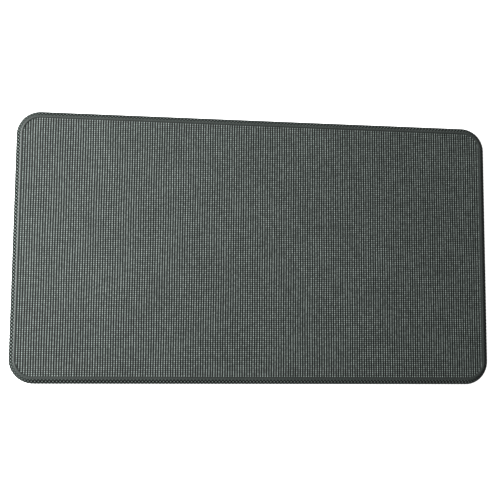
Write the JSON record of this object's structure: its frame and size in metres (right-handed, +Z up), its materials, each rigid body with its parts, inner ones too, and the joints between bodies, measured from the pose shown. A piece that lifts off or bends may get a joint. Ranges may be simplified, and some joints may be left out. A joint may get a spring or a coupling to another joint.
{
  "type": "anti fatigue mat",
  "caption": "Rectangular cushioned standing mat with rounded corners, a ribbed wear sheet, a smooth welt and a dotted wrapped edge.",
  "frame": {"origin": "middle of the underside, on the floor", "axes": "+X along the length, +Y along the width away from the user, +Z up"},
  "size_m": [0.9144, 0.508, 0.019],
  "materials": {
    "cover_vinyl": "matte",
    "welt_vinyl": "satin",
    "band_vinyl": "matte",
    "comfort_foam": "matte",
    "support_foam": "matte",
    "grip_vinyl": "matte"
  },
  "bodies": {
    "root": {"top_cover": "cover_vinyl", "edge_welt": "welt_vinyl", "edge_band": "band_vinyl", "comfort_foam": "comfort_foam", "support_foam": "support_foam", "base_sheet": "grip_vinyl"}
  },
  "joints": []
}
